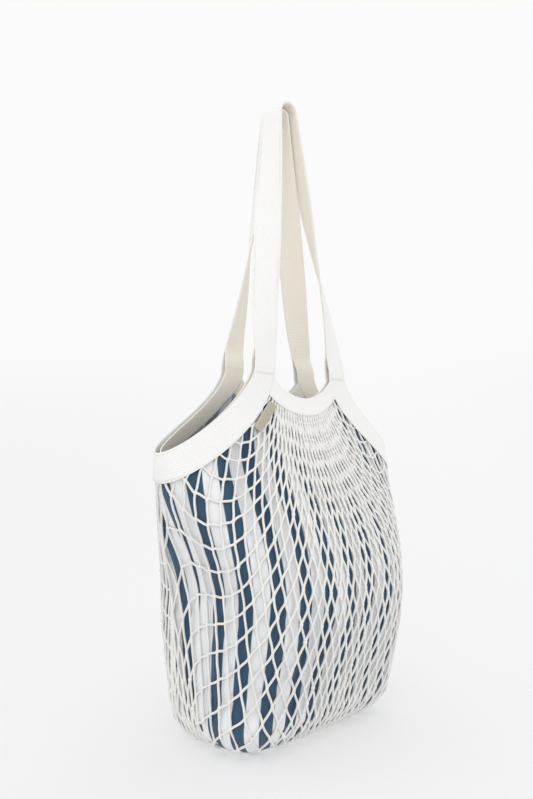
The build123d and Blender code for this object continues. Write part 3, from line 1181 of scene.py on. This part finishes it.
def lining_material():
    """Woven cotton with printed stripes of two colours, paler on the wrong side."""
    made, tree, shader = material("striped_cotton", STRIPE_WHITE, 0.9)
    cloth = scaled_cloth(tree)
    periods = math_node(tree, "DIVIDE", split_axes(tree, cloth)["X"], STRIPE_PERIOD)
    off_centre = math_node(tree, "SUBTRACT", math_node(tree, "FRACT", periods), 0.5)
    stripe = ramp(tree, math_node(tree, "ABSOLUTE", off_centre), 0.25 - STRIPE_BLUR, 0.25 + STRIPE_BLUR)
    side = tree.nodes.new("ShaderNodeAttribute")
    side.attribute_name = "inside"
    blue = mixed_colour(tree, side.outputs["Fac"], STRIPE_BLUE, STRIPE_BLUE_BACK)
    white = mixed_colour(tree, side.outputs["Fac"], STRIPE_WHITE, STRIPE_WHITE_BACK)
    two_tone(tree, shader, stripe, blue, white)
    warp = wave(tree, cloth, "X", LINING_THREADS)
    weft = wave(tree, cloth, "Y", LINING_THREADS)
    add_bump(tree, shader, math_node(tree, "ADD", warp, weft), LINING_BUMP)
    return made


def label_material():
    """Blank woven label, with a fine weft rib and painted shade between the ribs."""
    made, tree, shader = material("woven_label", LABEL_COLOUR, 0.8)
    ribs = wave(tree, scaled_cloth(tree), "Y", LABEL_RIBS)
    add_bump(tree, shader, ribs, LABEL_BUMP)
    # painted shade: the colour darkens where the rib bump sinks
    two_tone(tree, shader, ribs, LABEL_SHADE, LABEL_COLOUR)
    return made


def thread_material():
    """Sewing thread: three fine plies, with painted shade in the grooves between them."""
    made, tree, shader = material("sewing_thread", THREAD_COLOUR, 0.7)
    plies = wave(tree, scaled_cloth(tree, (THREAD_TWIST, PLY_TURNS, 1)), "DIAGONAL", PLY_SCALE)
    add_bump(tree, shader, plies, THREAD_BUMP)
    # painted shade: the colour darkens where the ply bump sinks
    two_tone(tree, shader, plies, THREAD_SHADE, THREAD_COLOUR)
    return made


def sweep_material():
    """A pale floor that brightens evenly into the background, as it curves up and further out."""
    made, tree, shader = material("pale_sweep", FLOOR_COLOUR, 0.7)
    place = tree.nodes.new("ShaderNodeNewGeometry").outputs["Position"]
    reach = add_node(tree, "VectorMath", {0: place})
    reach.operation = "LENGTH"
    rise = ramp(tree, split_axes(tree, place)["Z"], 0.0, SWEEP_FADE_Z, "SMOOTHSTEP")
    away = ramp(tree, reach.outputs["Value"], FLOOR_FADE_START, FLOOR_FADE_END, "SMOOTHSTEP")
    fade = math_node(tree, "MAXIMUM", rise, away)
    two_tone(tree, shader, fade, FLOOR_COLOUR, (0.0, 0.0, 0.0))
    gained = math_node(tree, "MULTIPLY", fade, ROOM_STRENGTH - FLOOR_GLOW)
    fill(tree, shader, {
        "Emission Color": (*ROOM_COLOUR, 1),
        "Emission Strength": math_node(tree, "ADD", gained, FLOOR_GLOW),
        "Sheen Weight": 0.0,
        "Specular IOR Level": 0.0,
    })
    return made


# ================= assembly =================

def dress(obj, look, slot_name):
    obj.data.materials.append(look)


def attach(piece, look, slot_name, body, node=None):
    """Dress a piece, put it on its body and hide the CAD node it stands for."""
    dress(piece, look, slot_name)
    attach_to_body(piece, body)
    if node:
        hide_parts(node)


def add_net():
    look = twine_material()
    twines, knots = build_net()
    attach(twines, look, "net_twine", "bag", "net_body")
    attach(knots, look, "net_twine", "bag")


def add_lining():
    look = lining_material()
    hangs_from = ["left_side_tape_inner_cloth", "right_side_tape_inner_cloth"]
    made = (
        (lining_panel("lining_front_cloth", -1), "lining_front_panel", LINING_PANEL_CUT, hangs_from),
        (lining_panel("lining_back_cloth", 1), "lining_back_panel", LINING_PANEL_CUT, hangs_from),
        (lining_base(), "lining_base", LINING_BASE_CUT, ["lining_front_cloth", "lining_back_cloth"]),
    )
    for (piece, area), node, flat, rests_on in made:
        attach(piece, look, "lining_stripe", "bag", node)
        min(area, flat[0] * flat[1])
        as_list(rests_on)


def add_edge_stitches(parts, line, across, normal, width, lift):
    """A row of stitches near each edge of a tape."""
    for edge in (-1, 1):
        add_stitches(parts, line, across, normal, edge * (width / 2 - STITCH_INSET), lift)


def add_tapes(outer_look, inner_look, thread):
    """The rim: side tapes round each tip and scoop tapes between the legs, each in two layers."""
    stitches = empty_parts()
    layers = (
        ("outer", OUTER_TAPE_LIFT, SCOOP_LIFT, 0.0, outer_look, "tape_white"),
        ("inner", INNER_TAPE_LIFT, -SCOOP_LIFT, INNER_TAPE_TRIM, inner_look, "tape_cream"),
    )
    tapes = (
        ("left_side", side_path(-1, 0), TAPE_WIDTH),
        ("right_side", side_path(1, 0), TAPE_WIDTH),
        ("front_scoop", scoop_path(-1, 0, LEG_X - SCOOP_TUCK), SCOOP_TAPE_WIDTH),
        ("back_scoop", scoop_path(1, 0, LEG_X - SCOOP_TUCK), SCOOP_TAPE_WIDTH),
    )
    for place, line, tape_width in tapes:
        is_scoop = place.endswith("scoop")
        for layer, lift, tuck, trim, look, slot_name in layers:
            node = f"{place}_tape_{layer}"
            if is_scoop:
                tape = wall_strap(node + "_cloth", line, tape_width, lift + tuck)
            else:
                tape = wall_strap(node + "_cloth", line, tape_width, lift, trim)
            attach(tape, look, slot_name, "bag", node)
        _, across, normal = frames_along(line, wall_normals(line))
        lift = OUTER_TAPE_LIFT + TAPE_THICK
        shown = slice(None)
        if is_scoop:
            lift = OUTER_TAPE_LIFT + SCOOP_LIFT + TAPE_THICK
            shown = slice(SCOOP_END_STEPS, -SCOOP_END_STEPS)
        add_edge_stitches(stitches, line[shown], across[shown], normal[shown], tape_width, lift)
    attach(mesh_from_parts("rim_stitching", stitches), thread, "thread", "bag")


def add_handles(outer_look, inner_look, thread):
    sizes = (("front", -1, FRONT_LEG_X, FRONT_CROWN_RADIUS), ("back", 1, BACK_LEG_X, BACK_CROWN_RADIUS))
    half_gap = HANDLE_LAYER_GAP / 2
    half_thick = HANDLE_THICK / 2
    outer_spread = OUTER_TAPE_LIFT - FOOT_LIFT - half_gap
    inner_spread = INNER_TAPE_LIFT - FOOT_LIFT + half_thick
    for name, facing, leg_x, radius in sizes:
        frames = handle_frames(facing, leg_x, radius)
        outer = handle_layer(f"{name}_handle_outer_cloth", frames, half_gap, half_thick, outer_spread)
        inner = handle_layer(f"{name}_handle_inner_cloth", frames, -half_thick, -half_gap, inner_spread)
        stitches = empty_parts()
        add_edge_stitches(stitches, *frames, TAPE_WIDTH, half_thick)
        stitching = mesh_from_parts(f"{name}_handle_stitching", stitches)
        for piece, look, slot_name in (
            (outer, outer_look, "tape_white"),
            (inner, inner_look, "tape_cream"),
            (stitching, thread, "thread"),
        ):
            dress(piece, look, slot_name)
            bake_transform(piece)
        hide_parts(f"{name}_handle_outer")
        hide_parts(f"{name}_handle_inner")


def add_bar_tacks(thread):
    """A block of upright threads sewn across the foot of each leg."""
    for facing, facing_name in ((-1, "front"), (1, "back")):
        for side, side_name in ((-1, "left"), (1, "right")):
            parts = empty_parts()
            for x in np.arange(-BAR_TACK_WIDTH / 2, BAR_TACK_WIDTH / 2 + 1e-6, BAR_TACK_PITCH):
                ends = []
                for rise in (-BAR_TACK_HEIGHT / 2, BAR_TACK_HEIGHT / 2):
                    spot = np.array([[side * LEG_X + x, facing * RIM_HALF_DEPTH, BAR_TACK_Z + rise]])
                    share = abs(spot[0, 0] / RIM_HALF_WIDTH)
                    spot[0, 1] = facing * RIM_HALF_DEPTH * math.sqrt(1 - share ** 2)
                    out = wall_normals(spot)
                    ends.append((onto_wall(spot, 0) + out * (OUTER_TAPE_LIFT + TAPE_THICK))[0])
                add_stitch(parts, ends[0], ends[1], out[0], BAR_TACK_THREAD)
            node = f"{facing_name}_{side_name}_bar_tack"
            attach(mesh_from_parts(node + "_threads", parts), thread, "thread", "bag", node)


def add_label(thread):
    """A blank woven label with a slight curl, sewn along its upper edge."""
    centre, half, (long_way, short_way, out) = oriented_box("label_tag")
    if out[1] > 0:
        out = -out
    if short_way[2] > 0:
        short_way = -short_way
    if np.dot(np.cross(short_way, long_way), out) < 0:
        long_way = -long_way
    u = np.linspace(-1, 1, LABEL_COLUMNS)[None, :, None]
    v = np.linspace(-1, 1, LABEL_ROWS)[:, None, None]
    curl = LABEL_CURL * (0.5 + 0.5 * v) ** 2 * (0.6 + 0.4 * u ** 2)
    points = centre + long_way * half[0] * u + short_way * half[1] * v + out * (curl + half[2] * 0.6)
    normals = np.broadcast_to(out, points.shape)
    uv = np.concatenate(np.broadcast_arrays((u + 1) * half[0], (v + 1) * half[1]), axis=-1)
    piece = sheet_mesh("sewn_label", points, normals, uv, LABEL_THICK)
    attach(piece, label_material(), "label_weave", "label", "label_tag")
    parts = empty_parts()
    reach = half[0] * LABEL_STITCH_SPAN
    line = centre + long_way * np.linspace(-reach, reach, LABEL_STITCH_POINTS)[:, None]
    across = np.broadcast_to(short_way, line.shape)
    normal = np.broadcast_to(out, line.shape)
    add_stitches(parts, line, across, normal, LABEL_STITCH_INSET - half[1], half[2])
    attach(mesh_from_parts("label_stitching", parts), thread, "thread", "label")


# ================= stage, light and camera =================

def add_stage():
    """A floor that curves up behind the bag, and an even white room round it."""
    away = np.array([-math.sin(VIEW_TURN), math.cos(VIEW_TURN), 0])
    aside = np.array([away[1], -away[0], 0])
    bend = np.linspace(0, math.pi / 2, SWEEP_STEPS)
    profile = [(-SWEEP_NEAR, 0.0)]
    profile += [(SWEEP_FAR + SWEEP_RADIUS * math.sin(t), SWEEP_RADIUS * (1 - math.cos(t))) for t in bend]
    profile.append((SWEEP_FAR + SWEEP_RADIUS, SWEEP_HEIGHT))
    vertices = []
    for out, rise in profile:
        for end in (-SWEEP_HALF_WIDTH, SWEEP_HALF_WIDTH):
            vertices.append(away * out + aside * end + np.array([0, 0, rise]))
    floor = new_mesh("floor", vertices, grid_faces(len(profile), 2, flip=True))
    floor.location.z = -FLOOR_GAP
    floor.data.materials.append(sweep_material())
    world = bpy.data.worlds.new("white_room")
    world.use_nodes = True
    background = world.node_tree.nodes["Background"]
    fill(world.node_tree, background, {"Color": (*ROOM_COLOUR, 1), "Strength": ROOM_STRENGTH})
    bpy.context.scene.world = world


def add_area_light(name, place, aim, power):
    lamp = bpy.data.lights.new(name, "AREA")
    lamp.size = LIGHT_SIZE
    lamp.energy = power
    obj = bpy.data.objects.new(name, lamp)
    obj.location = place
    obj.rotation_euler = (Vector(aim) - Vector(place)).to_track_quat("-Z", "Y").to_euler()
    bpy.context.scene.collection.objects.link(obj)


def add_camera():
    data = bpy.data.cameras.new("camera")
    data.sensor_fit = "VERTICAL"
    data.sensor_height = SENSOR
    data.sensor_width = SENSOR
    data.lens = LENS
    camera = bpy.data.objects.new("camera", data)
    x = math.sin(VIEW_TURN) * VIEW_DISTANCE
    y = -math.cos(VIEW_TURN) * VIEW_DISTANCE
    camera.location = (x, y, VIEW_HEIGHT)
    camera.rotation_euler = (math.pi / 2 + VIEW_TILT, 0, VIEW_TURN + VIEW_YAW)
    bpy.context.scene.collection.objects.link(camera)
    bpy.context.scene.camera = camera


def build():
    outer_look = tape_material("white_twill_tape", TAPE_WHITE, TAPE_WHITE_SHADE, OUTER_TAPE_RIBS, "DIAGONAL")
    inner_look = tape_material("cream_ribbed_tape", TAPE_CREAM, TAPE_CREAM_SHADE, INNER_TAPE_RIBS, "X")
    thread = thread_material()
    add_net()
    add_lining()
    add_tapes(outer_look, inner_look, thread)
    add_handles(outer_look, inner_look, thread)
    add_bar_tacks(thread)
    add_label(thread)
    add_stage()
    add_area_light("window", WINDOW_PLACE, WINDOW_AIM, WINDOW_POWER)
    add_area_light("far_panel", PANEL_PLACE, PANEL_AIM, PANEL_POWER)
    add_camera()


build()
bpy.context.scene.view_settings.view_transform = "Standard"
